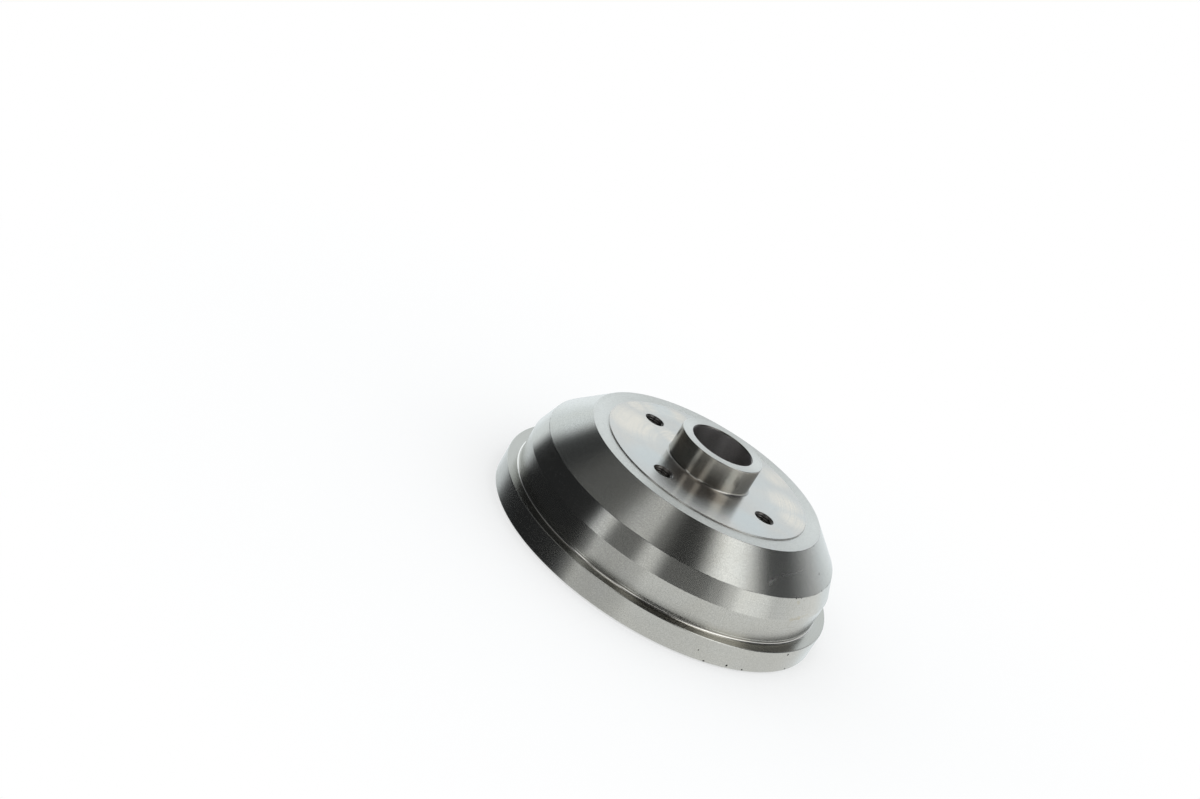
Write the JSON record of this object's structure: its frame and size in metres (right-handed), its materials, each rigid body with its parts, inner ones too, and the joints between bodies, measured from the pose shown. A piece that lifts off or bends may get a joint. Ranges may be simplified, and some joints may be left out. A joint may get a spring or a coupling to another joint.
{
  "type": "brake drum",
  "caption": "Rear brake drum with integral wheel hub: cast iron, turned outside, with threaded wheel bolt holes, centring spigot and stepped bearing bore.",
  "frame": {"origin": "centre of the rim plane, the plane the drum stands on when it lies open side down", "axes": "+Z along the drum's axis, from the open rim to the wheel side; one wheel bolt hole lies on each of +X, +Y, -X and -Y"},
  "size_m": [0.229, 0.229, 0.0858],
  "materials": {
    "drum": "fine turned on the outside, friction surface and bores; rough as cast inside the web and hub"
  },
  "bodies": {
    "root": {"drum": "drum"}
  },
  "joints": []
}
